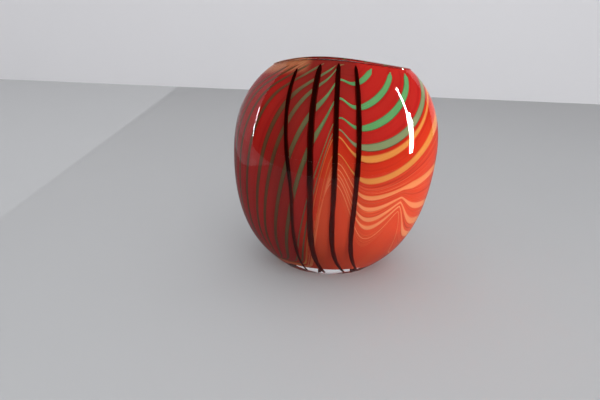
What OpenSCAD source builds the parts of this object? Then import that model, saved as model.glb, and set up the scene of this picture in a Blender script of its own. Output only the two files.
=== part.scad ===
// Hand blown art glass vase: a flattened oval body with a long slot mouth, cased in clear glass.
// The colour lies between two layers of clear glass: an orange underlay, a red overlay,
// turns of green and amber thread raked into swags, and black trails from lip to foot.
//
// X runs along the slot, -Y is the front, +Z is up. The origin is the centre of the foot.
// A place on the body is an angle (0 at the front, 90 at the +X side) and a height.

/* [Body] */
// Greatest width of the body
body_w = 188; // [170:1:205]
// Greatest depth of the body, front to back
body_d = 116; // [100:1:130]
// Height of the widest level
belly_z = 115.5; // [108:0.5:118]
// Height of the lip at the ends of the slot
lip_z = 197; // [196:0.5:200]
// Drop from the widest level to where the lower curve would close
lower_drop = 124; // [122:1:135]
// Rise from the widest level to where the upper curve would close
upper_rise = 95.5; // [92:0.5:100]
// Fullness of the curves below and above the widest level, where 2 is an ellipse
fullness = 2.32; // [2.1:0.02:2.6]
// How far the top leans to the right
lean = 2; // [0:0.5:5]

/* [Mouth] */
// Depth of the lip over its width
mouth_ratio = 0.28; // [0.27:0.01:0.5]
// Rise of the lip at the front and back over the ends of the slot
lip_rise = 6.2; // [0:0.1:7]
// Share of that rise by which the left side stands over the right
lip_bias = 0.6; // [0:0.05:0.8]
// Further rise of the front of the lip, taken off the back
front_rise = 1.2; // [0:0.1:2]
// Share of the wall's thickness that is lost by the lip
lip_thinning = 0.35; // [0.3:0.05:0.5]
// Height of the lip's rounding over the wall's thickness there
lip_round = 0.45; // [0.35:0.05:0.5]

/* [Foot] */
// Half the width of the flat foot
foot_half_w = 45; // [38:1:50]
// Height of the rounded heel
heel_h = 16; // [12:1:22]
// Thickness of clear glass under the colour
foot_t = 11; // [8:0.5:13]
// Height at which the glass has thinned from the foot to the wall
foot_blend = 58; // [40:1:75]

/* [Layers] */
// Clear casing over the colour
casing_t = 2.8; // [2.4:0.1:4]
// Red overlay
red_t = 0.8; // [0.6:0.1:1.2]
// Orange underlay
orange_t = 1; // [0.8:0.1:1.5]
// Clear lining
lining_t = 1.9; // [1.5:0.1:3]

/* [Threads] */
// Thickness of a green or amber thread
thread_t = 0.7; // [0.5:0.1:1]
// Width of a green thread as wound
green_w = 5; // [3:0.5:6]
// Width of an amber thread as wound
amber_w = 6; // [3:0.5:7]
// Least width to which raking draws a thread out
drawn_w = 0.8; // [0.6:0.1:1.5]

/* [Trails] */
// Width of a black trail at mid height
trail_w = 5.6; // [3:0.2:7]
// Thickness of a black trail
trail_t = 1.8; // [1:0.1:2]

/* [Fineness] */
// Facets around each layer
around = 40; // [32:4:44]
// Levels up the wall of each layer
levels = 15; // [12:1:18]
// Length of a thread between two sections
thread_step = 13; // [11:1:20]

/* [Hidden] */
// Each turn: the height that it was wound at, counted up the wall and on past the lip, and its
// width over the usual one. Turns over the lip's height show only where the rake pulls them down.
green_turns = [
    [256, 1], [243, 1], [230, 1], [216, 1], [201, 1],
    [191, 0.95], [179, 1], [167, 1.05], [155, 1.15], [141, 1.35]
];
amber_turns = [[131, 1.35], [110, 1.25], [93, 1.15], [79, 1.15], [65, 1.35], [52, 1.5], [28, 0.3]];

// Each trail: angle at mid height, swing at the lip, swing at the foot, width over trail_w,
// and its distance below the lip.
black_trails = [
    [-23.8, -14, 0, 0.65, 4.5],
    [-13.5, -5, 12, 0.96, 2],
    [-1.3, -3, 25, 0.82, 0.8],
    [10, -1, 32, 0.78, 1.2],
    [148, 6, -14, 0.9, 4],
    [163, 4, -10, 1.1, 2],
    [177, 1, 8, 1.0, 3],
    [191, -4, 20, 0.95, 5]
];

half_w = body_w / 2;
half_d = body_d / 2;
colour_t = red_t + orange_t;
wall_t = casing_t + colour_t + lining_t;
small = 0.05;

// ---- The outer surface of the body ----

function clamp(x, low, high) = min(max(x, low), high);
function ease(x) = let (c = clamp(x, 0, 1)) c * c * (3 - 2 * c);
function curve(x) = pow(1 - pow(clamp(x, 0, 0.9999), fullness), 1 / fullness);

// Half the width at a height, before the heel is rounded
function full_half_w(z) =
    half_w * (z > belly_z ? curve((z - belly_z) / upper_rise) : curve((belly_z - z) / lower_drop));

// How much of the width the heel takes off, from all of it at the foot to none at its top
function heel_cut(z) =
    let (x = clamp(1 - z / heel_h, 0, 1)) 1 - sqrt(1 - x * x);

function outer_half_w(z) =
    full_half_w(z) - (full_half_w(0) - foot_half_w) * heel_cut(z);

// Depth over width: even up to the widest level, then closing towards the slot
function flatness(z) =
    let (x = clamp((z - belly_z) / (lip_z - belly_z), 0, 1))
    half_d / half_w + (mouth_ratio - half_d / half_w) * x * x;

// The lip is a saddle, high at the front and back, and higher on the left than on the right
function lip_wave(angle, z) =
    let (x = clamp((z - 0.75 * lip_z) / (0.25 * lip_z), 0, 1))
    x * x * (lip_rise * pow(cos(angle), 2) * (1 - lip_bias * sin(angle)) + front_rise * cos(angle));

function outer(angle, z) = [
    outer_half_w(z) * sin(angle) + lean * pow(z / lip_z, 2),
    -outer_half_w(z) * flatness(z) * cos(angle),
    z + lip_wave(angle, z)
];

// Outward normal, from two short steps across the surface
function normal(angle, z) =
    let (
        low = max(z - small, 0),
        along = outer(angle + 0.5, z) - outer(angle - 0.5, z),
        up = outer(angle, z + small) - outer(angle, low),
        n = cross(along, up)
    )
    n / norm(n);

// A point a stated depth under the surface
function under(angle, z, depth) = outer(angle, z) - depth * normal(angle, z);

// ---- Layers ----

// The wall thins towards the lip
function thinned(z) = 1 - lip_thinning * ease((z - belly_z) / (lip_z - belly_z));

// Depth of a layer boundary: the clear glass thickens from the wall to the foot
function depth_at(z, wall_depth) =
    wall_depth * thinned(z) + (foot_t - casing_t) * (1 - ease(z / foot_blend)) * (wall_depth > 0 ? 1 : 0);

// Heights of the levels, closer together at the heel and the lip
function level_z(i, top) = top * (1 - cos(180 * i / levels)) / 2;

// One ring of points round the body
function ring(z, depth) =
    [for (j = [0 : around - 1]) under(360 * j / around, z, depth)];

function flat_ring(depth) =
    [for (p = ring(0, 0)) [p[0] * (1 - depth / foot_half_w), p[1] * (1 - depth / foot_half_w), depth]];

// The rings of one boundary, from its flat bottom up to a height
function boundary(wall_depth, top) = concat(
    [flat_ring(depth_at(0, wall_depth))],
    [for (i = [1 : levels]) let (z = level_z(i, top)) ring(z, depth_at(z, wall_depth))]
);

// The half round of the lip, over the whole wall from outside to inside
function lip_rings() = [
    for (a = [30 : 30 : 150])
        [for (p = ring(lip_base_z, lip_t * (1 - cos(a)) / 2)) p + [0, 0, lip_t * lip_round * sin(a)]]
];

// The top of a colour layer, which stands a little way up into the lip
function crest(wall_depth) =
    [for (p = ring(lip_base_z, depth_at(lip_base_z, wall_depth))) p + [0, 0, lip_t * crest_rise]];

// A closed solid from rings that start and end at flat bottoms
module skin(rings) {
    count = len(rings);
    points = [for (r = rings) each r];
    sides = [
        for (i = [0 : count - 2], j = [0 : around - 1])
            let (k = (j + 1) % around, a = i * around, b = a + around)
            each [[a + j, b + j, b + k], [a + j, b + k, a + k]]
    ];
    bottom = [for (j = [0 : around - 1]) j];
    inside = [for (j = [around - 1 : -1 : 0]) (count - 1) * around + j];
    polyhedron(points, concat(sides, [bottom, inside]), convexity = 6);
}

function reversed(list) = [for (i = [len(list) - 1 : -1 : 0]) list[i]];

lip_t = wall_t * (1 - lip_thinning);
lip_base_z = lip_z - lip_round * lip_t;
crest_rise = 0.2;

module colour_layer(outer_depth, inner_depth) {
    skin(concat(
        boundary(outer_depth, lip_base_z),
        [crest(outer_depth), crest(inner_depth)],
        reversed(boundary(inner_depth, lip_base_z))
    ));
}

module clear_casing() {
    color([0.93, 0.95, 0.95, 0.35])
    skin(concat(
        boundary(0, lip_base_z),
        lip_rings(),
        [
            ring(lip_base_z, lip_t),
            ring(lip_base_z, depth_at(lip_base_z, casing_t + colour_t)),
            crest(casing_t + colour_t),
            crest(casing_t)
        ],
        reversed(boundary(casing_t, lip_base_z))
    ));
}

module red_overlay() {
    color([0.72, 0.08, 0.09])
    colour_layer(casing_t, casing_t + red_t);
}

module orange_underlay() {
    color([0.85, 0.27, 0.12])
    colour_layer(casing_t + red_t, casing_t + colour_t);
}

module clear_lining() {
    color([0.93, 0.9, 0.86, 0.5])
    skin(concat(
        boundary(casing_t + colour_t, lip_base_z),
        reversed(boundary(wall_t, lip_base_z))
    ));
}

// ---- The raked pattern ----

// Angle brought to the half turn each side of the left end, where the great drag lies
function turned(angle) = angle > 90 ? angle - 360 : angle;

// The place on the front that a place on the back mirrors
function folded(angle) = let (t = turned(angle)) t < -90 ? -180 - t : t;

// The upward strokes were a little weaker on the back
back_stroke = 0.88;
function stroke(angle) = turned(angle) < -90 ? back_stroke : 1;

function logistic(x) = 1 / (1 + exp(-clamp(x, -30, 30)));

// The great drag down the left end, from 0 outside it to 1 where it takes a turn to the foot.
// It is broader and sharper for the upper turns, and sharper again for the lower ones.
drag_edge = 16.8;
drag_edge_turn = 156;
drag_broader = 0.7;
drag_narrower = 0.15;
drag_narrow_span = 57;
drag_soft = 5.2;
drag_sharper_above = 1.75;
drag_sharper_below = 3;
function dragged(angle, s) =
    let (
        over = s - drag_edge_turn,
        edge = drag_edge + (over > 0 ? drag_broader * over : drag_narrower * max(over, -drag_narrow_span)),
        above = drag_sharper_above * ease((s - 187) / 30),
        below = drag_sharper_below * ease((171 - s) / 56)
    )
    logistic((-folded(angle) - edge) / (drag_soft - above - below));

// The upper turns crowd together under the lip
crowd_turn = 187;
crowd_share = 0.56;
function crowded(s) = s - crowd_share * max(s - crowd_turn, 0);

// The drag takes a turn down to just over the foot
drag_share = 0.96;
drag_rest_z = 2;
function left_drag(angle, s) = -(drag_share * crowded(s) - drag_rest_z) * dragged(angle, s);

// The upper turns slope down from the middle stroke to the drag
middle_line = -3.2;
slope_rate = 0.55;
slope_turn = 152;
slope_blend = 30;
function left_slope(angle, s) =
    let (fall = slope_rate * ease((s - slope_turn) / slope_blend))
    -fall * max(middle_line - folded(angle), 0) * (1 - dragged(angle, s));

// The upward stroke through the middle, blunter on its right side and stronger on lower turns
middle_turn = 115;
middle_lift = 24;
middle_less_above = 0.27;
middle_more_below = 0.66;
middle_w = 5.2;
middle_w_most = 12;
middle_widening = 0.047;
middle_right_share = 1.52;
function middle_rake(angle, s) =
    let (
        across = folded(angle) - middle_line,
        widened = clamp(middle_w + middle_widening * (141 - s), middle_w, middle_w_most),
        width = widened * (across > 0 ? middle_right_share : 1),
        rate = s > middle_turn ? middle_less_above : middle_more_below,
        lift = middle_lift - (s - middle_turn) * rate
    )
    stroke(angle) * max(lift, 0) * exp(-pow(across / width, 2));

// The swags rise to the right end, the upper ones first. The lowest sink towards it.
right_start = 13;
right_earlier = 0.47;
right_level_turn = 80;
right_rate_low = 1.82;
right_rate_high = 0.74;
function right_rise(angle, s) =
    let (
        start = right_start - right_earlier * clamp(s - 141, 0, 46),
        x = clamp((folded(angle) - start) / (90 - start), 0, 1),
        rate = right_rate_low - (right_rate_low - right_rate_high) * ease((s - 99) / 45),
        over = s - right_level_turn
    )
    over * (over > 0 ? rate : s / (2 * right_level_turn)) * (1 - cos(180 * x)) / 2;

// The short upward stroke from the foot, sharper on the side towards the right end
short_line = 39;
short_top_z = 96;
short_share = 0.8;
short_left_w = 16;
short_right_w = 9.2;
short_point = 1.4;
function short_rake(angle, s) =
    let (
        across = folded(angle) - short_line,
        width = across < 0 ? short_left_w : short_right_w
    )
    stroke(angle) * short_share * max(short_top_z - s, 0) * exp(-pow(abs(across) / width, short_point));

// A slight unevenness of the hand, different on each turn
hand_wave = 0.9;

// Height of a turn at an angle, after raking. A turn starts level at height s.
function raked(angle, s) =
    crowded(s) + left_slope(angle, s) + left_drag(angle, s) + middle_rake(angle, s)
    + right_rise(angle, s) + short_rake(angle, s)
    + hand_wave * sin(3 * angle + 4 * s);

function slope(angle, s) = (raked(angle + 0.2, s) - raked(angle - 0.2, s)) / 0.4;
function stretch(angle, s) = raked(angle, s + 0.5) - raked(angle, s - 0.5);

// Length of one degree round the body
function degree_length(angle, z) =
    norm([outer_half_w(z) * cos(angle), outer_half_w(z) * flatness(z) * sin(angle)]) * PI / 180;

// Width of a turn across its own run, thinned where it is drawn out and at the middle stroke
pinch_line = 1;
pinch_reach = 9;
pinch_share = 0.6;
steep_share = 0.38;
most_width = 1.25;
function turn_width(angle, s, wound_w) =
    let (
        steep = slope(angle, s) / degree_length(angle, raked(angle, s)),
        level = 1 / sqrt(1 + steep * steep),
        thinner = 1 - steep_share * (1 - level),
        pinch = 1 - pinch_share * exp(-pow((folded(angle) - pinch_line) / pinch_reach, 2)),
        w = wound_w * stretch(angle, s) * level * thinner * pinch
    )
    clamp(w, drawn_w, wound_w * most_width);

// ---- Inlays: threads and trails ----

thread_top_z = lip_base_z - 1.2;

// How far a turn runs from the left end before it meets the lip
function reach(s, angle, way) =
    abs(angle + 90) >= 180 || raked(angle + 2 * way, s) > thread_top_z
        ? angle
        : reach(s, angle + 2 * way, way);

// Angles along a turn, evenly spaced by length
function walk(s, angle, last) =
    let (
        across = degree_length(angle, clamp(raked(angle, s), 5, thread_top_z)),
        steep = max(abs(slope(angle, s)), abs(slope(angle + 2, s)), abs(slope(angle + 4, s))),
        next = angle + thread_step / norm([across, steep])
    )
    next > last ? [angle] : concat([angle], walk(s, next, last));

// A section of an inlay round a stated depth: each point of its shape is a share of the
// half width across the run, and a further depth
function section(at, onward, depth, half_width, shape) =
    let (
        p = outer(at[0], at[1]),
        n = normal(at[0], at[1]),
        run = outer(onward[0], onward[1]) - p,
        side = cross(n, run) / norm(cross(n, run))
    )
    [for (q = shape) p + side * q[0] * half_width - n * (depth + q[1] * thinned(at[1]))];

// A closed solid from sections, joined end to end when it goes all the way round
module inlay(sections, closed) {
    m = len(sections[0]);
    count = len(sections);
    spans = closed ? count : count - 1;
    points = [for (s = sections) each s];
    sides = [
        for (i = [0 : spans - 1], j = [0 : m - 1])
            let (k = (j + 1) % m, a = i * m, b = ((i + 1) % count) * m)
            each [[a + j, b + k, a + k], [a + j, b + j, b + k]]
    ];
    start = [for (j = [0 : m - 1]) j];
    end = [for (j = [m - 1 : -1 : 0]) (count - 1) * m + j];
    polyhedron(points, closed ? sides : concat(sides, [start, end]), convexity = 8);
}

thread_shape = let (t = thread_t / 2) [[-1, t], [1, t], [1, -t], [-1, -t]];

// A thread lies half in the casing and half in the red overlay
module thread(turn, usual_w) {
    s = turn[0];
    low = reach(s, -90, -1);
    high = reach(s, -90, 1);
    closed = high - low >= 359;
    angles = walk(s, low, high - (closed ? 2 : 0));
    inlay(
        [for (a = angles)
            let (z = raked(a, s))
            section([a, z], [a + 0.4, raked(a + 0.4, s)], depth_at(z, casing_t),
                turn_width(a, s, usual_w * turn[1]) / 2, thread_shape)],
        closed
    );
}

module green_thread(i) {
    color([0.37, 0.63, 0.4])
    thread(green_turns[i - 1], green_w);
}

module amber_thread(i) {
    color([0.86, 0.58, 0.27])
    thread(amber_turns[i - 1], amber_w);
}

// A trail lies in the casing, just outside the red overlay
trail_gap = 0.25;
trail_depth = casing_t - trail_gap - trail_t / 2;
trail_shape = [for (a = [0 : 60 : 300]) [cos(a), -trail_t / 2 * sin(a)]];
trail_low_z = 3.5;
trail_sections = 22;

function trail_angle(trail, z) =
    trail[0] + trail[1] * pow(max(z - 90, 0) / 110, 1.3) + trail[2] * exp(-z / 18);

module black_trail(i) {
    trail = black_trails[i - 1];
    top = lip_base_z - trail[4];
    color([0.12, 0.05, 0.04])
    inlay(
        [for (k = [0 : trail_sections])
            let (
                z = trail_low_z + (top - trail_low_z) * (1 - cos(180 * k / trail_sections)) / 2,
                taper = 0.55 + 0.45 * min(ease(z / 45), ease((top - z) / 20 + 0.25))
            )
            section([trail_angle(trail, z), z], [trail_angle(trail, z + 0.4), z + 0.4],
                trail_depth * thinned(z), trail_w / 2 * trail[3] * taper, trail_shape)],
        false
    );
}

// ---- The assembly ----

clear_casing();
red_overlay();
orange_underlay();
clear_lining();
for (i = [1 : len(green_turns)])
    green_thread(i);
for (i = [1 : len(amber_turns)])
    amber_thread(i);
for (i = [1 : len(black_trails)])
    black_trail(i);
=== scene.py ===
"""Hand blown art glass vase: the visible glass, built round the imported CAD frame.

Lengths are in millimetres until a mesh is made, and a place on the body is an angle
(0 at the front, 90 at the right end) and a height, as in the CAD source.
"""

import math

import bpy
import numpy as np
from mathutils import Matrix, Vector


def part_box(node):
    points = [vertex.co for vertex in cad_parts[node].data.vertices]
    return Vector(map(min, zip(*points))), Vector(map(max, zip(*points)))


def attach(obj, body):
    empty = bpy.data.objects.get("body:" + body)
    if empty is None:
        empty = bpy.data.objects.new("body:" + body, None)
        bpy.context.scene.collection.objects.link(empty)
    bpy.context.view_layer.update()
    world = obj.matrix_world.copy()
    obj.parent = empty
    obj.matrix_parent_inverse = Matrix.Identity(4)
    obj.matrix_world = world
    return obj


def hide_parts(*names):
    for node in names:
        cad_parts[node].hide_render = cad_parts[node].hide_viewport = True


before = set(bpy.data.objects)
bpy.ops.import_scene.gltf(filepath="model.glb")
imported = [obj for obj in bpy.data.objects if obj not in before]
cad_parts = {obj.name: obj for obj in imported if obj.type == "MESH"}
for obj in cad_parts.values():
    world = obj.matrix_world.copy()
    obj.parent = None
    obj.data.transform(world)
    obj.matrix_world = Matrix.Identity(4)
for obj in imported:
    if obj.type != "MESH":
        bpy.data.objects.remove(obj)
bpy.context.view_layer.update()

MM = 0.001
SMALL = 0.05

# ---- Driving sizes: the box gives the overall size, the rest repeats the design ----

casing_low, casing_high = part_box("clear_casing")
HALF_W = (casing_high[0] - casing_low[0]) / 2 / MM
HALF_D = (casing_high[1] - casing_low[1]) / 2 / MM
BELLY_Z = 115.5
LIP_Z = 197.0
LOWER_DROP = 124.0
UPPER_RISE = 95.5
FULLNESS = 2.32
LEAN = 2.0

MOUTH_RATIO = 0.28
LIP_RISE = 6.2
LIP_BIAS = 0.6
FRONT_RISE = 1.2
LIP_THINNING = 0.35
LIP_ROUND = 0.45
CREST_RISE = 0.2
LIP_WAVE_SHARE = 0.25

FOOT_HALF_W = 45.0
HEEL_H = 16.0
FOOT_T = 11.0
FOOT_BLEND = 58.0

CASING_T = 2.8
RED_T = 0.8
ORANGE_T = 1.0
LINING_T = 1.9
COLOUR_T = RED_T + ORANGE_T
WALL_T = CASING_T + COLOUR_T + LINING_T
LIP_T = WALL_T * (1 - LIP_THINNING)
LIP_BASE_Z = LIP_Z - LIP_ROUND * LIP_T
THREAD_GAP = 1.2
THREAD_TOP_Z = LIP_BASE_Z - THREAD_GAP

THREAD_T = 0.7
GREEN_W = 5.0
AMBER_W = 6.0
DRAWN_W = 0.8
TRAIL_W = 5.6
TRAIL_T = 1.8
TRAIL_GAP = 0.25
TRAIL_LOW_Z = 1.5

# Height wound at and width over the usual one
GREEN_TURNS = [
    (256, 1), (243, 1), (230, 1), (216, 1), (201, 1),
    (191, 0.95), (179, 1), (167, 1.05), (155, 1.15), (141, 1.35),
]
AMBER_TURNS = [(131, 1.35), (110, 1.25), (93, 1.15), (79, 1.15), (65, 1.35), (52, 1.5), (28, 0.3)]

# Angle at mid height, swing at the lip, swing at the foot, width, distance below the lip
BLACK_TRAILS = [
    (-23.8, -14, 0, 0.65, 4.5),
    (-13.5, -5, 12, 0.96, 2),
    (-1.3, -3, 25, 0.82, 0.8),
    (10, -1, 32, 0.78, 1.2),
    (148, 6, -14, 0.9, 4),
    (163, 4, -10, 1.1, 2),
    (177, 1, 8, 1.0, 3),
    (191, -4, 20, 0.95, 5),
]


# ---- The outer surface of the body ----

def ease(x):
    c = np.clip(x, 0, 1)
    return c * c * (3 - 2 * c)


def curve(x):
    return (1 - np.clip(x, 0, 0.9999) ** FULLNESS) ** (1 / FULLNESS)


def full_half_w(z):
    """Half the width at a height, before the foot is shaped."""
    above = curve((z - BELLY_Z) / UPPER_RISE)
    below = curve((BELLY_Z - z) / LOWER_DROP)
    return HALF_W * np.where(z > BELLY_Z, above, below)


def outer_half_w(z):
    x = np.clip(1 - z / HEEL_H, 0, 1)
    return full_half_w(z) - (full_half_w(0) - FOOT_HALF_W) * (1 - np.sqrt(1 - x * x))


def flatness(z):
    """Depth over width: even up to the widest level, then closing towards the slot."""
    x = np.clip((z - BELLY_Z) / (LIP_Z - BELLY_Z), 0, 1)
    return HALF_D / HALF_W + (MOUTH_RATIO - HALF_D / HALF_W) * x * x


def lip_wave(angle, z):
    """The lip is a saddle, high at the front and back, and higher on the left."""
    start = (1 - LIP_WAVE_SHARE) * LIP_Z
    x = np.clip((z - start) / (LIP_WAVE_SHARE * LIP_Z), 0, 1)
    turn = np.radians(angle)
    saddle = LIP_RISE * np.cos(turn) ** 2 * (1 - LIP_BIAS * np.sin(turn))
    return x * x * (saddle + FRONT_RISE * np.cos(turn))


def outer(angle, z):
    """Point on the outer surface, for arrays of angles and heights."""
    angle, z = np.broadcast_arrays(np.asarray(angle, float), np.asarray(z, float))
    turn = np.radians(angle)
    width = outer_half_w(z)
    x = width * np.sin(turn) + LEAN * (z / LIP_Z) ** 2
    y = -width * flatness(z) * np.cos(turn)
    return np.stack([x, y, z + lip_wave(angle, z)], -1)


def unit(v):
    return v / np.linalg.norm(v, axis=-1, keepdims=True)


def normal(angle, z):
    """Outward normal, from two short steps across the surface."""
    low = np.maximum(z - SMALL, 0)
    along = outer(angle + 0.5, z) - outer(angle - 0.5, z)
    up = outer(angle, z + SMALL) - outer(angle, low)
    return unit(np.cross(along, up))


def under(angle, z, depth):
    """A point a stated depth under the surface."""
    return outer(angle, z) - np.asarray(depth)[..., None] * normal(angle, z)


# ---- The raked pattern ----

def turned(angle):
    """Angle brought to the half turn each side of the left end."""
    return np.where(angle > 90, angle - 360, angle)


def folded(angle):
    """The place on the front that a place on the back mirrors."""
    t = turned(angle)
    return np.where(t < -90, -180 - t, t)


def logistic(x):
    return 1 / (1 + np.exp(-np.clip(x, -30, 30)))


BACK_STROKE = 0.88
HAND_WAVE = 0.9


def stroke(angle):
    """The upward strokes were a little weaker on the back."""
    return np.where(turned(angle) < -90, BACK_STROKE, 1.0)


DRAG_EDGE = 16.8
DRAG_EDGE_TURN = 156
DRAG_BROADER = 0.7
DRAG_NARROWER = 0.15
DRAG_NARROW_SPAN = 57
DRAG_SOFT = 5.2
DRAG_SHARPER_ABOVE = 1.75
DRAG_SHARPER_BELOW = 3


def dragged(angle, s):
    """The great drag down the left end: 0 outside it, 1 where it takes a turn to the foot."""
    over = s - DRAG_EDGE_TURN
    narrower = DRAG_NARROWER * np.maximum(over, -DRAG_NARROW_SPAN)
    edge = DRAG_EDGE + np.where(over > 0, DRAG_BROADER * over, narrower)
    above = DRAG_SHARPER_ABOVE * ease((s - 187) / 30)
    below = DRAG_SHARPER_BELOW * ease((171 - s) / 56)
    return logistic((-folded(angle) - edge) / (DRAG_SOFT - above - below))


CROWD_TURN = 187
CROWD_SHARE = 0.56


def crowded(s):
    """The upper turns crowd together under the lip."""
    return s - CROWD_SHARE * np.maximum(s - CROWD_TURN, 0)


DRAG_SHARE = 0.96
DRAG_REST_Z = 2


def left_drag(angle, s):
    """The drag takes a turn down to just over the foot."""
    return -(DRAG_SHARE * crowded(s) - DRAG_REST_Z) * dragged(angle, s)


MIDDLE_LINE = -3.2
SLOPE_RATE = 0.55
SLOPE_TURN = 152
SLOPE_BLEND = 30


def left_slope(angle, s):
    """The upper turns slope down from the middle stroke to the drag."""
    fall = SLOPE_RATE * ease((s - SLOPE_TURN) / SLOPE_BLEND)
    run = np.maximum(MIDDLE_LINE - folded(angle), 0)
    return -fall * run * (1 - dragged(angle, s))


MIDDLE_TURN = 115
MIDDLE_LIFT = 24
MIDDLE_LESS_ABOVE = 0.27
MIDDLE_MORE_BELOW = 0.66
MIDDLE_W = 5.2
MIDDLE_W_MOST = 12
MIDDLE_WIDENING = 0.047
MIDDLE_RIGHT_SHARE = 1.52


def middle_rake(angle, s):
    """The upward stroke through the middle, blunter on its right side."""
    across = folded(angle) - MIDDLE_LINE
    widened = np.clip(MIDDLE_W + MIDDLE_WIDENING * (141 - s), MIDDLE_W, MIDDLE_W_MOST)
    width = widened * np.where(across > 0, MIDDLE_RIGHT_SHARE, 1)
    rate = np.where(s > MIDDLE_TURN, MIDDLE_LESS_ABOVE, MIDDLE_MORE_BELOW)
    lift = MIDDLE_LIFT - (s - MIDDLE_TURN) * rate
    return stroke(angle) * np.maximum(lift, 0) * np.exp(-(across / width) ** 2)


RIGHT_START = 13
RIGHT_EARLIER = 0.47
RIGHT_LEVEL_TURN = 80
RIGHT_RATE_LOW = 1.82
RIGHT_RATE_HIGH = 0.74


def right_rise(angle, s):
    """The swags rise to the right end, the upper ones first. The lowest sink towards it."""
    start = RIGHT_START - RIGHT_EARLIER * np.clip(s - 141, 0, 46)
    x = np.clip((folded(angle) - start) / (90 - start), 0, 1)
    rate = RIGHT_RATE_LOW - (RIGHT_RATE_LOW - RIGHT_RATE_HIGH) * ease((s - 99) / 45)
    over = s - RIGHT_LEVEL_TURN
    lift = over * np.where(over > 0, rate, s / (2 * RIGHT_LEVEL_TURN))
    return lift * (1 - np.cos(math.pi * x)) / 2


SHORT_LINE = 39.0
SHORT_TOP_Z = 96.0
SHORT_SHARE = 0.8
SHORT_LEFT_W = 16
SHORT_RIGHT_W = 9.2
SHORT_POINT = 1.4


def short_rake(angle, s):
    """The short upward stroke from the foot, sharper on the side towards the right end."""
    across = folded(angle) - SHORT_LINE
    width = np.where(across < 0, SHORT_LEFT_W, SHORT_RIGHT_W)
    lift = SHORT_SHARE * np.maximum(SHORT_TOP_Z - s, 0)
    return stroke(angle) * lift * np.exp(-(np.abs(across) / width) ** SHORT_POINT)


def raked(angle, s):
    """Height that the glass wound on at height s has after raking."""
    angle, s = np.broadcast_arrays(np.asarray(angle, float), np.asarray(s, float))
    return (
        crowded(s) + left_slope(angle, s) + left_drag(angle, s) + middle_rake(angle, s)
        + right_rise(angle, s) + short_rake(angle, s)
        + HAND_WAVE * np.sin(np.radians(3 * angle + 4 * s))
    )


def slope(angle, s):
    return (raked(angle + 0.2, s) - raked(angle - 0.2, s)) / 0.4


def stretch(angle, s):
    return raked(angle, s + 0.5) - raked(angle, s - 0.5)


def degree_length(angle, z):
    """Length of one degree round the body."""
    turn = np.radians(angle)
    width = outer_half_w(z)
    return np.hypot(width * np.cos(turn), width * flatness(z) * np.sin(turn)) * math.pi / 180


# ---- Mesh making ----

def mesh_object(name, points, faces):
    mesh = bpy.data.meshes.new(name)
    mesh.from_pydata((np.asarray(points) * MM).tolist(), [], faces)
    mesh.polygons.foreach_set("use_smooth", [True] * len(mesh.polygons))
    mesh.update()
    piece = bpy.data.objects.new(name, mesh)
    bpy.context.scene.collection.objects.link(piece)
    return piece


def add_attribute(piece, name, values):
    layer = piece.data.attributes.new(name, "FLOAT", "POINT")
    layer.data.foreach_set("value", np.asarray(values, dtype=np.float32).ravel())


def ring_faces(rings, around):
    """Quads between rings of points, outward for rings that climb the outside."""
    i, j = np.meshgrid(np.arange(rings - 1), np.arange(around), indexing="ij")
    k = (j + 1) % around
    low, high = i * around, (i + 1) * around
    quads = np.stack([low + j, low + k, high + k, high + j], -1).reshape(-1, 4)
    return quads.tolist()


def skin(name, rings):
    """Closed shell from rings that begin and end at flat bottoms."""
    rings = np.asarray(rings)
    count, around = rings.shape[:2]
    faces = ring_faces(count, around)
    faces.append(list(range(around - 1, -1, -1)))
    faces.append(list(range((count - 1) * around, count * around)))
    piece = mesh_object(name, rings.reshape(-1, 3), faces)
    piece.data.set_sharp_from_angle(angle=math.radians(35))
    return piece


AROUND = 320
LEVELS = 150
ANGLES = np.arange(AROUND) * 360 / AROUND
INNER_LOW_Z = 2.2
HOLLOW_T = 0.035


def level_heights():
    """Heights of the levels up the wall, closer together at the foot and the lip."""
    return LIP_BASE_Z * (1 - np.cos(np.pi * np.arange(1, LEVELS + 1) / LEVELS)) / 2


def thinned(z):
    """The wall thins towards the lip."""
    return 1 - LIP_THINNING * ease((z - BELLY_Z) / (LIP_Z - BELLY_Z))


def depth_at(z, wall_depth):
    """Depth of a layer boundary: the clear glass thickens from the wall to the foot."""
    return wall_depth * thinned(z) + (FOOT_T - CASING_T) * (1 - ease(z / FOOT_BLEND))


def flat_ring(depth):
    """Edge of a flat bottom at a stated height over the foot."""
    ring = outer(ANGLES, 0.0)
    ring[:, :2] *= 1 - depth / FOOT_HALF_W
    ring[:, 2] = depth
    return ring


def inner_heights():
    """Levels of the layers inside, which start over the turn of the heel."""
    heights = level_heights()
    return heights[heights > INNER_LOW_Z]


def boundary(wall_depth):
    """Rings of a layer boundary inside the glass, from its flat bottom to the lip."""
    rings = [flat_ring(depth_at(0.0, wall_depth))]
    for z in inner_heights():
        rings.append(under(ANGLES, z, depth_at(z, wall_depth)))
    return rings


def raised(depth, rise):
    """Ring in the lip, a stated depth into the wall and height above where the lip starts."""
    ring = under(ANGLES, LIP_BASE_Z, depth)
    ring[:, 2] += rise
    return ring


def crest(wall_depth, rise):
    return raised(depth_at(LIP_BASE_Z, wall_depth), rise)


def hand_wave(angle, z):
    """Shallow hollows left by shaping the hot glass by hand, in millimetres of depth."""
    turn = np.radians(angle)
    wave = np.sin(3 * turn + z / 21) + np.sin(5 * turn - z / 13 + 1) + np.sin(2 * turn + z / 9 + 2)
    fade = ease(z / 25) * ease((LIP_BASE_Z - z) / 20)
    return HOLLOW_T * (3 + wave) * fade


# How far the colour stands into the clear glass, so that no air is left between them
BOND = 0.12


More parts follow.
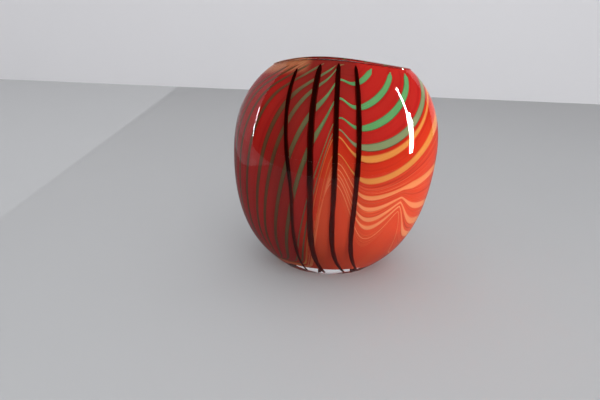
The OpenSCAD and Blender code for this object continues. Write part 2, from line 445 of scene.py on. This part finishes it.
def casing_rings():
    """Rings of the casing: up the outside, over the lip and down round the colour."""
    rings = [flat_ring(0.0)]
    for z in level_heights():
        rings.append(under(ANGLES, z, hand_wave(ANGLES, z)))
    for a in np.radians(np.arange(10, 180, 10)):
        rings.append(raised(LIP_T * (1 - math.cos(a)) / 2, LIP_T * LIP_ROUND * math.sin(a)))
    pocket = LIP_T * CREST_RISE - BOND
    inner = CASING_T + COLOUR_T - BOND
    rings += [raised(LIP_T, 0.0), crest(inner, 0.0)]
    rings += [crest(inner, pocket), crest(CASING_T + BOND, pocket)]
    return rings + boundary(CASING_T + BOND)[::-1]


def colour_rings(outer_depth, inner_depth):
    """Rings of a colour layer, whose top stands a little way up into the lip."""
    rise = LIP_T * CREST_RISE
    tops = [crest(outer_depth, rise), crest(inner_depth, rise)]
    return boundary(outer_depth) + tops + boundary(inner_depth)[::-1]


def lining_rings():
    """Rings of the lining, whose top stands a little way up into the casing."""
    outside = boundary(CASING_T + COLOUR_T - BOND)
    inside = boundary(WALL_T)
    for ring in (outside[-1], inside[-1]):
        ring[:, 2] += BOND
    return outside + inside[::-1]


# Top of the heights that glass was wound on at, counted on past the lip
WOUND_SPAN = 330.0


def wound_height(angles, z):
    """Height that the glass at each place was wound on at: the rake undone."""
    s = np.arange(0.0, WOUND_SPAN, 1.0)
    out = np.empty((len(z), len(angles)))
    for j, angle in enumerate(angles):
        heights = np.maximum.accumulate(raked(angle, s))
        out[:, j] = np.interp(z, heights, s)
    return out


# ---- Threads and trails ----

def inlay(name, sections, closed):
    """Closed solid from sections of the same number of points."""
    sections = np.asarray(sections)
    count, m = sections.shape[:2]
    spans = count if closed else count - 1
    i, j = np.meshgrid(np.arange(spans), np.arange(m), indexing="ij")
    k = (j + 1) % m
    near, far = i * m, ((i + 1) % count) * m
    faces = np.stack([near + j, far + j, far + k, near + k], -1).reshape(-1, 4).tolist()
    if not closed:
        faces.append(list(range(m)))
        faces.append(list(range(count * m - 1, (count - 1) * m - 1, -1)))
    return mesh_object(name, sections.reshape(-1, 3), faces)


def sections_along(angles, heights, depth, half_widths, shape, closed=False):
    """Sections across a run under the surface. shape lists (share of half width, further depth)."""
    at = outer(angles, heights)
    n = normal(angles, heights)
    if closed:
        run = np.roll(at, -1, axis=0) - np.roll(at, 1, axis=0)
    else:
        run = np.gradient(at, axis=0)
    side = unit(np.cross(n, run))
    shape = np.asarray(shape)
    deep = depth[:, None] + shape[None, :, 1] * thinned(heights)[:, None]
    wide = half_widths[:, None] * shape[None, :, 0]
    return at[:, None] + side[:, None] * wide[..., None] - n[:, None] * deep[..., None]


def lens(thickness, points=12):
    """Flattened round section, as (share of half width, further depth)."""
    turns = np.arange(points) * 2 * np.pi / points
    return np.stack([np.cos(turns), -thickness / 2 * np.sin(turns)], -1)


def reach(s, way, step=0.5):
    """How far a turn runs from the left end before it meets the lip."""
    angle = -90.0
    while abs(angle + 90) < 180 and raked(angle + step * way, s) < THREAD_TOP_Z:
        angle += step * way
    return angle


def turn_angles(s, low, high, step=1.1, fine_step=0.05):
    """Angles along a turn, evenly spaced by length."""
    fine = np.arange(low, high, fine_step)
    z = np.clip(raked(fine, s), 5, THREAD_TOP_Z)
    length = np.hypot(degree_length(fine, z), slope(fine, s)) * fine_step
    total = np.concatenate([[0], np.cumsum(length)[:-1]])
    return np.interp(np.arange(0, total[-1], step), total, fine)


# A turn is thinned where it is drawn out and at the middle stroke
PINCH_LINE = 1.0
PINCH_REACH = 9.0
PINCH_SHARE = 0.6
STEEP_SHARE = 0.38
MOST_WIDTH = 1.25


def thread(name, turn, usual_w):
    """A raked turn of thread, with what its material reads."""
    s, share = turn
    wound_w = usual_w * share
    low, high = reach(s, -1), reach(s, 1)
    closed = high - low >= 359
    angles = turn_angles(s, low, high)
    heights = raked(angles, s)
    steep = slope(angles, s) / degree_length(angles, heights)
    level = 1 / np.sqrt(1 + steep ** 2)
    thinner = 1 - STEEP_SHARE * (1 - level)
    pinch = 1 - PINCH_SHARE * np.exp(-((folded(angles) - PINCH_LINE) / PINCH_REACH) ** 2)
    width = wound_w * stretch(angles, s) * level * thinner * pinch
    width = np.clip(width, DRAWN_W, wound_w * MOST_WIDTH)
    if not closed:
        end = np.minimum(np.arange(len(angles)), np.arange(len(angles))[::-1])
        width *= 0.25 + 0.75 * ease(end / 4)
    shape = lens(THREAD_T)
    depth = depth_at(heights, CASING_T)
    piece = inlay(name, sections_along(angles, heights, depth, width / 2, shape, closed), closed)
    points = len(shape)
    across = np.tile(shape[:, 0], len(angles))
    add_attribute(piece, "across", across)
    add_attribute(piece, "wound", s + across * wound_w / 2)
    add_attribute(piece, "angle", np.repeat(folded(angles), points))
    add_attribute(piece, "drawn", np.repeat(1 - level, points))
    return piece


TRAIL_BEND_Z = 90
TRAIL_BEND_SPAN = 110
TRAIL_BEND = 1.3
TRAIL_FOOT_SPAN = 18
TRAIL_END = 2.5


def trail(name, swing, sections=160):
    """A black trail from the lip to the foot, a little uneven in width."""
    middle, lip_swing, foot_swing, share, below = swing
    low, top = TRAIL_LOW_Z, LIP_BASE_Z - below
    z = low + (top - low) * (1 - np.cos(np.pi * np.arange(sections + 1) / sections)) / 2
    angles = middle + lip_swing * (np.maximum(z - TRAIL_BEND_Z, 0) / TRAIL_BEND_SPAN) ** TRAIL_BEND
    angles += foot_swing * np.exp(-z / TRAIL_FOOT_SPAN)
    taper = 0.55 + 0.45 * np.minimum(ease(z / 45), ease((top - z) / 20 + 0.25))
    wobble = 1 + 0.05 * np.sin(z / 7 + middle) + 0.04 * np.sin(z / 3.1 + 2 * middle)
    half = TRAIL_W / 2 * share * taper * wobble
    end = np.minimum(z - low, top - z)
    half *= np.sqrt(np.clip(end / TRAIL_END, 0.02, 1))
    depth = (CASING_T - TRAIL_GAP - TRAIL_T / 2) * thinned(z)
    shape = lens(TRAIL_T, 16)
    piece = inlay(name, sections_along(angles, z, depth, half, shape), False)
    add_attribute(piece, "across", np.tile(shape[:, 0], len(z)))
    add_attribute(piece, "height", np.repeat(z, len(shape)))
    return piece


# ---- Materials: only the clear casing and lining shine, the glass under them is all colour ----

GROUND_ROUGHNESS = 0.55
THREAD_ROUGHNESS = 0.5
TRAIL_ROUGHNESS = 0.3
CLEAR_IOR = 1.5
CLEAR_SPECULAR = 0.06


def new_material(name):
    material = bpy.data.materials.new(name)
    material.use_nodes = True
    nodes = material.node_tree.nodes
    nodes.clear()
    out = nodes.new("ShaderNodeOutputMaterial")
    shader = nodes.new("ShaderNodeBsdfPrincipled")
    material.node_tree.links.new(shader.outputs[0], out.inputs["Surface"])
    return material, shader


def set_surface(shader, roughness, specular):
    shader.inputs["Roughness"].default_value = roughness
    shader.inputs["Specular IOR Level"].default_value = specular


class Tree:
    """Short calls for adding nodes to a tree."""

    def __init__(self, tree):
        self.nodes = tree.nodes
        self.links = tree.links

    def put(self, value, socket):
        if isinstance(value, bpy.types.NodeSocket):
            self.links.new(value, socket)
        else:
            socket.default_value = value

    def attribute(self, name):
        node = self.nodes.new("ShaderNodeAttribute")
        node.attribute_name = name
        return node.outputs["Fac"]

    def math(self, operation, a, b=0.0):
        node = self.nodes.new("ShaderNodeMath")
        node.operation = operation
        for value, socket in zip((a, b), node.inputs):
            self.put(value, socket)
        return node.outputs[0]

    def span(self, value, low, high, to_low=0.0, to_high=1.0):
        node = self.nodes.new("ShaderNodeMapRange")
        node.interpolation_type = "SMOOTHSTEP"
        for put, name in ((value, "Value"), (low, "From Min"), (high, "From Max"),
                          (to_low, "To Min"), (to_high, "To Max")):
            self.put(put, node.inputs[name])
        return node.outputs[0]

    def mix(self, share, a, b):
        node = self.nodes.new("ShaderNodeMix")
        node.data_type = "RGBA"
        self.put(share, node.inputs[0])
        self.put(a, node.inputs[6])
        self.put(b, node.inputs[7])
        return node.outputs[2]

    def ramp(self, value, stops):
        node = self.nodes.new("ShaderNodeValToRGB")
        elements = node.color_ramp.elements
        while len(elements) < len(stops):
            elements.new(0.5)
        for element, (place, colour) in zip(elements, stops):
            element.position = place
            element.color = colour
        self.put(value, node.inputs[0])
        return node.outputs["Color"]

    def combine(self, x, y, z=0.0):
        node = self.nodes.new("ShaderNodeCombineXYZ")
        for value, socket in zip((x, y, z), node.inputs):
            self.put(value, socket)
        return node.outputs[0]

    def noise(self, vector, scale, detail=3.0):
        node = self.nodes.new("ShaderNodeTexNoise")
        self.put(vector, node.inputs["Vector"])
        node.inputs["Scale"].default_value = scale
        node.inputs["Detail"].default_value = detail
        return node.outputs["Fac"]

    def object_place(self):
        return self.nodes.new("ShaderNodeTexCoord").outputs["Object"]

    def bump(self, height, strength, distance):
        node = self.nodes.new("ShaderNodeBump")
        node.inputs["Strength"].default_value = strength
        node.inputs["Distance"].default_value = distance
        self.put(height, node.inputs["Height"])
        return node.outputs[0]


def rgb(red, green, blue):
    """Display colour, 0 to 255, as the linear colour that nodes take."""
    shares = [c / 255 for c in (red, green, blue)]
    linear = [((c + 0.055) / 1.055) ** 2.4 if c > 0.04 else c / 12.92 for c in shares]
    return (*linear, 1.0)


CRIMSON = rgb(180, 40, 34)
DEEP_CRIMSON = rgb(150, 38, 36)
ORANGE_RED = rgb(200, 56, 32)
CORAL = rgb(222, 84, 50)

GROUND_STOPS = [
    (25 / WOUND_SPAN, rgb(214, 74, 44)),
    (62 / WOUND_SPAN, CORAL),
    (112 / WOUND_SPAN, ORANGE_RED),
    (134 / WOUND_SPAN, rgb(192, 46, 28)),
    (144 / WOUND_SPAN, CRIMSON),
    (200 / WOUND_SPAN, CRIMSON),
    (250 / WOUND_SPAN, DEEP_CRIMSON),
]


def ground_colour(tree):
    """Colour of the glass that the threads lie on: it follows the rake, so it is read
    from the height that the glass was wound on at."""
    wound = tree.attribute("wound")
    angle = tree.attribute("angle")
    height = tree.attribute("height")
    low_left = tree.span(angle, 0.0, -8.0, 0.0, 12.0)
    place = tree.math("DIVIDE", tree.math("SUBTRACT", wound, low_left), WOUND_SPAN)
    base = tree.ramp(place, GROUND_STOPS)
    flow = tree.combine(tree.math("MULTIPLY", wound, 0.55), tree.math("MULTIPLY", angle, 0.012))
    streak = tree.noise(flow, 1.0, 4.0)
    fine_flow = tree.combine(tree.math("MULTIPLY", wound, 1.7), tree.math("MULTIPLY", angle, 0.02), 4.0)
    fine = tree.noise(fine_flow, 1.0, 2.0)
    darker = tree.mix(tree.span(streak, 0.5, 0.75, 0.0, 0.45), base, rgb(120, 14, 18))
    # Painted shade: the upper glass from the middle to near the left end is darkened towards rgb(108,
    # 40, 34), standing in for the shade on the side away from the window light
    upper = tree.span(wound, 140.0, 200.0, 0.0, 0.7)
    painted_shade = tree.math("MULTIPLY", tree.span(angle, 16.0, 2.0), upper)
    painted_shade = tree.math("MULTIPLY", painted_shade, tree.span(angle, -50.0, -26.0))
    darker = tree.mix(painted_shade, darker, rgb(108, 40, 34))
    by_lip = tree.span(height, 186.0, 192.0)
    lip_patch = tree.math("MULTIPLY", by_lip, tree.span(angle, -24.0, -34.0))
    lip_patch = tree.math("MULTIPLY", lip_patch, tree.span(tree.noise(flow, 3.0), 0.35, 0.55))
    darker = tree.mix(tree.math("MULTIPLY", lip_patch, 0.75), darker, rgb(204, 146, 100))
    lower = tree.span(wound, 125.0, 95.0, 0.0, 0.6)
    light = tree.math("MULTIPLY", tree.span(fine, 0.5, 0.7), lower)
    return tree.mix(light, darker, rgb(236, 128, 78))


def colour_layer_material(name):
    material, shader = new_material(name)
    tree = Tree(material.node_tree)
    tree.put(ground_colour(tree), shader.inputs["Base Color"])
    set_surface(shader, GROUND_ROUGHNESS, 0.0)
    return material


def green_material():
    """Green that turns olive and brown where the turn is drawn out to the left."""
    material, shader = new_material("green_glass")
    tree = Tree(material.node_tree)
    across = tree.math("ABSOLUTE", tree.attribute("across"))
    angle = tree.attribute("angle")
    drawn = tree.attribute("drawn")
    wound = tree.attribute("wound")
    flow = tree.combine(tree.math("MULTIPLY", wound, 0.9), tree.math("MULTIPLY", angle, 0.05))
    grain = tree.noise(flow, 1.0)
    fresh = tree.mix(grain, rgb(84, 146, 88), rgb(110, 176, 112))
    greyed = tree.mix(tree.span(wound, 150.0, 143.0, 0.0, 0.7), fresh, rgb(140, 136, 104))
    olive = tree.mix(tree.span(angle, -2.0, -16.0, 0.0, 0.8), greyed, rgb(112, 108, 76))
    brown = tree.mix(tree.span(angle, -10.0, -40.0, 0.0, 0.9), olive, rgb(104, 62, 42))
    thin = tree.mix(tree.span(drawn, 0.3, 0.95, 0.0, 0.5), brown, rgb(104, 70, 44))
    edged = tree.mix(tree.span(across, 0.7, 0.95, 0.0, 0.75), thin, rgb(74, 40, 22))
    tree.put(edged, shader.inputs["Base Color"])
    set_surface(shader, THREAD_ROUGHNESS, 0.0)
    return material


def amber_material():
    """Honey colour that pales lower down and melts into the ground at its edges."""
    material, shader = new_material("amber_glass")
    tree = Tree(material.node_tree)
    across = tree.math("ABSOLUTE", tree.attribute("across"))
    drawn = tree.attribute("drawn")
    angle = tree.attribute("angle")
    wound = tree.attribute("wound")
    ground = ground_colour(tree)
    flow = tree.combine(tree.math("MULTIPLY", wound, 0.6), tree.math("MULTIPLY", angle, 0.06), 2.0)
    cloud = tree.noise(flow, 1.0)
    honey = tree.mix(cloud, rgb(204, 134, 58), rgb(222, 152, 80))
    peach = tree.mix(tree.span(wound, 104.0, 88.0), honey, rgb(232, 146, 96))
    body = tree.mix(tree.span(drawn, 0.3, 1.0, 0.0, 0.7), peach, ground)
    soft = tree.mix(tree.span(across, 0.5, 1.0), body, ground)
    tree.put(soft, shader.inputs["Base Color"])
    set_surface(shader, THREAD_ROUGHNESS, 0.0)
    return material


def black_material():
    """Near black with dark red showing at the edges, more so low down."""
    material, shader = new_material("black_glass")
    tree = Tree(material.node_tree)
    across = tree.math("ABSOLUTE", tree.attribute("across"))
    place = tree.object_place()
    patch = tree.noise(place, 38.0)
    edge = tree.math("MULTIPLY", tree.span(across, 0.45, 1.0), tree.span(patch, 0.3, 0.6))
    low = tree.span(tree.attribute("height"), 118.0, 92.0)
    body = tree.mix(low, rgb(34, 5, 2), rgb(62, 8, 3))
    colour = tree.mix(edge, body, tree.mix(low, rgb(96, 13, 8), rgb(128, 22, 10)))
    tree.put(colour, shader.inputs["Base Color"])
    set_surface(shader, TRAIL_ROUGHNESS, 0.0)
    return material


def clear_material(name, tint, roughness):
    """Clear glass with a faint ripple and uneven polish."""
    material, shader = new_material(name)
    tree = Tree(material.node_tree)
    shader.inputs["Base Color"].default_value = tint
    shader.inputs["Transmission Weight"].default_value = 1.0
    shader.inputs["IOR"].default_value = CLEAR_IOR
    shader.inputs["Specular IOR Level"].default_value = CLEAR_SPECULAR
    place = tree.object_place()
    ripple = tree.noise(place, 26.0, 2.0)
    tree.put(tree.bump(ripple, 0.05, 0.001), shader.inputs["Normal"])
    wear = tree.span(tree.noise(place, 60.0), 0.45, 0.8, roughness, roughness + 0.02)
    tree.put(wear, shader.inputs["Roughness"])
    return material


# ---- Pieces ----

def place_piece(piece, node, material):
    piece.data.materials.append(material)
    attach(piece, "root")
    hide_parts(node)


clear_glass = clear_material("clear_glass", (1.0, 1.0, 1.0, 1.0), 0.0)
lining_glass = clear_material("lining_glass", (1.0, 0.96, 0.93, 1.0), 0.01)
red_glass = colour_layer_material("red_glass")
orange_glass = colour_layer_material("orange_glass")
green_glass = green_material()
amber_glass = amber_material()
black_glass = black_material()


def build_casing():
    piece = skin("glass_casing", casing_rings())
    place_piece(piece, "clear_casing", clear_glass)
    piece.visible_shadow = False


def build_colour_layer(name, node, outer_depth, inner_depth, material):
    rings = colour_rings(outer_depth, inner_depth)
    piece = skin(name, rings)
    levels = np.concatenate([[0.0], inner_heights(), [LIP_BASE_Z + LIP_T * CREST_RISE]])
    wound = wound_height(ANGLES, levels)
    wound = np.concatenate([wound, wound[::-1]])
    add_attribute(piece, "wound", wound)
    add_attribute(piece, "angle", np.tile(folded(ANGLES), len(rings)))
    add_attribute(piece, "height", np.repeat(np.concatenate([levels, levels[::-1]]), len(ANGLES)))
    place_piece(piece, node, material)


def build_lining():
    piece = skin("glass_lining", lining_rings())
    place_piece(piece, "clear_lining", lining_glass)
    piece.visible_shadow = False


def build_inlays():
    for i, turn in enumerate(GREEN_TURNS, 1):
        place_piece(thread(f"raked_green_{i}", turn, GREEN_W), f"green_thread_{i}", green_glass)
    for i, turn in enumerate(AMBER_TURNS, 1):
        place_piece(thread(f"raked_amber_{i}", turn, AMBER_W), f"amber_thread_{i}", amber_glass)
    for i, swing in enumerate(BLACK_TRAILS, 1):
        place_piece(trail(f"drawn_trail_{i}", swing), f"black_trail_{i}", black_glass)


build_casing()
RED_INSIDE = CASING_T + RED_T
ORANGE_INSIDE = CASING_T + COLOUR_T + SMALL
build_colour_layer("overlay_shell", "red_overlay", CASING_T - SMALL, RED_INSIDE, red_glass)
build_colour_layer("underlay_shell", "orange_underlay", RED_INSIDE - SMALL, ORANGE_INSIDE, orange_glass)
build_lining()
build_inlays()


# ---- Studio: floor, walls, lights and camera ----

def plain_material(name, colour, roughness, gloss):
    """Paint or cloth with a faint cloudiness."""
    material, shader = new_material(name)
    tree = Tree(material.node_tree)
    cloud = tree.noise(tree.object_place(), 2.2, 4.0)
    lighter = tuple(min(1.0, c * 1.06) for c in colour[:3]) + (1.0,)
    tree.put(tree.mix(cloud, colour, lighter), shader.inputs["Base Color"])
    set_surface(shader, roughness, gloss)
    return material


def panel(name, corners, material):
    """Flat stage panel from four corners in metres."""
    mesh = bpy.data.meshes.new(name)
    mesh.from_pydata(corners, [], [(0, 1, 2, 3)])
    piece = bpy.data.objects.new(name, mesh)
    bpy.context.scene.collection.objects.link(piece)
    mesh.materials.append(material)
    return piece


def level_panel(name, x, y, z, material):
    """Level stage panel between two places along x and two along y."""
    corners = [(x[0], y[0], z), (x[1], y[0], z), (x[1], y[1], z), (x[0], y[1], z)]
    return panel(name, corners, material)


def upright_panel(name, start, end, material):
    """Upright stage panel from the floor, over a line on the floor."""
    corners = [(*start, -FLOOR_GAP), (*end, -FLOOR_GAP), (*end, WALL_H), (*start, WALL_H)]
    return panel(name, corners, material)


FLOOR_GAP = 0.0003
FLOOR_REACH = 2.6
BACK_Y = 0.85
WALL_H = 2.2
LEFT_X = -1.5
LEFT_WALL_Y = -0.32
ACROSS = (-FLOOR_REACH, FLOOR_REACH)

floor_paint = plain_material("pale_floor", rgb(187, 188, 188), 0.4, 0.25)
wall_paint = plain_material("pale_wall", rgb(234, 233, 234), 0.9, 0.1)

level_panel("floor", ACROSS, (-FLOOR_REACH, BACK_Y), -FLOOR_GAP, floor_paint)
upright_panel("back_wall", (-FLOOR_REACH, BACK_Y), (FLOOR_REACH, BACK_Y), wall_paint)
upright_panel("left_wall", (LEFT_X, LEFT_WALL_Y), (LEFT_X, BACK_Y), wall_paint)

# What the glass mirrors in place of the floor: a dimmer table, and past its near end a dark room
TABLE_END_Y = -0.335
ROOM_Y = -2.4
SHEEN_LEFT_X = -0.38
dark_cloth = plain_material("dark_room", rgb(60, 52, 52), 1.0, 0.0)
dim_paint = plain_material("dim_table", rgb(130, 118, 118), 1.0, 0.0)
mirrored = [
    level_panel("room_floor", ACROSS, (ROOM_Y, TABLE_END_Y), 0.001, dark_cloth),
    level_panel("table_sheen", (SHEEN_LEFT_X, FLOOR_REACH), (TABLE_END_Y, BACK_Y), 0.0002, dim_paint),
]
for piece in mirrored:
    piece.visible_camera = False
    piece.visible_diffuse = False
    piece.visible_transmission = False
    piece.visible_shadow = False

AIM_Z = 0.11


def area_light(name, azimuth, elevation, distance, size, power):
    """Area light that faces the vase. Azimuth is from the front, to the right."""
    light = bpy.data.lights.new(name, "AREA")
    light.shape = "RECTANGLE"
    light.size, light.size_y = size
    light.energy = power
    lamp = bpy.data.objects.new(name, light)
    turn, rise = math.radians(azimuth), math.radians(elevation)
    lamp.location = (
        distance * math.cos(rise) * math.sin(turn),
        -distance * math.cos(rise) * math.cos(turn),
        AIM_Z + distance * math.sin(rise),
    )
    lamp.rotation_euler = (math.pi / 2 - rise, 0.0, turn)
    bpy.context.scene.collection.objects.link(lamp)
    return lamp


# Lights that are seen only as highlights
for highlight in (
    area_light("window", 66, 16, 1.5, (0.13, 0.86), 34.0),
    area_light("window_top", 65, 40, 1.5, (0.04, 0.44), 6.0),
    area_light("left_strip", -78, 17, 1.2, (0.016, 0.5), 1.1),
):
    highlight.visible_diffuse = False

# Soft lights that leave no highlight
for fill in (
    area_light("window_fill", 12, 50, 2.0, (1.3, 1.3), 6.6),
    area_light("ceiling", 180, 75, 2.0, (2.0, 2.0), 7.0),
):
    fill.visible_glossy = False

WORLD_COLOUR = (0.95, 0.96, 1.0, 1.0)
WORLD_STRENGTH = 0.87

world = bpy.data.worlds.new("room")
world.use_nodes = True
background = world.node_tree.nodes["Background"]
background.inputs["Color"].default_value = WORLD_COLOUR
background.inputs["Strength"].default_value = WORLD_STRENGTH
world.cycles_visibility.glossy = False
bpy.context.scene.world = world

CAMERA_PLACE = (-0.0297, -0.4015, 0.254)
CAMERA_PITCH = 25.0
CAMERA_ROLL = 2.4
CAMERA_LENS = 27.0

camera_data = bpy.data.cameras.new("camera")
camera_data.lens = CAMERA_LENS
camera_data.sensor_width = 36.0
camera = bpy.data.objects.new("camera", camera_data)
camera.location = CAMERA_PLACE
camera.rotation_mode = "QUATERNION"
bpy.context.scene.collection.objects.link(camera)
tilt = Matrix.Rotation(math.radians(90 - CAMERA_PITCH), 4, "X")
roll = Matrix.Rotation(math.radians(CAMERA_ROLL), 4, "Z")
camera.rotation_quaternion = (tilt @ roll).to_quaternion()
bpy.context.scene.camera = camera

bpy.context.scene.view_settings.view_transform = "Standard"
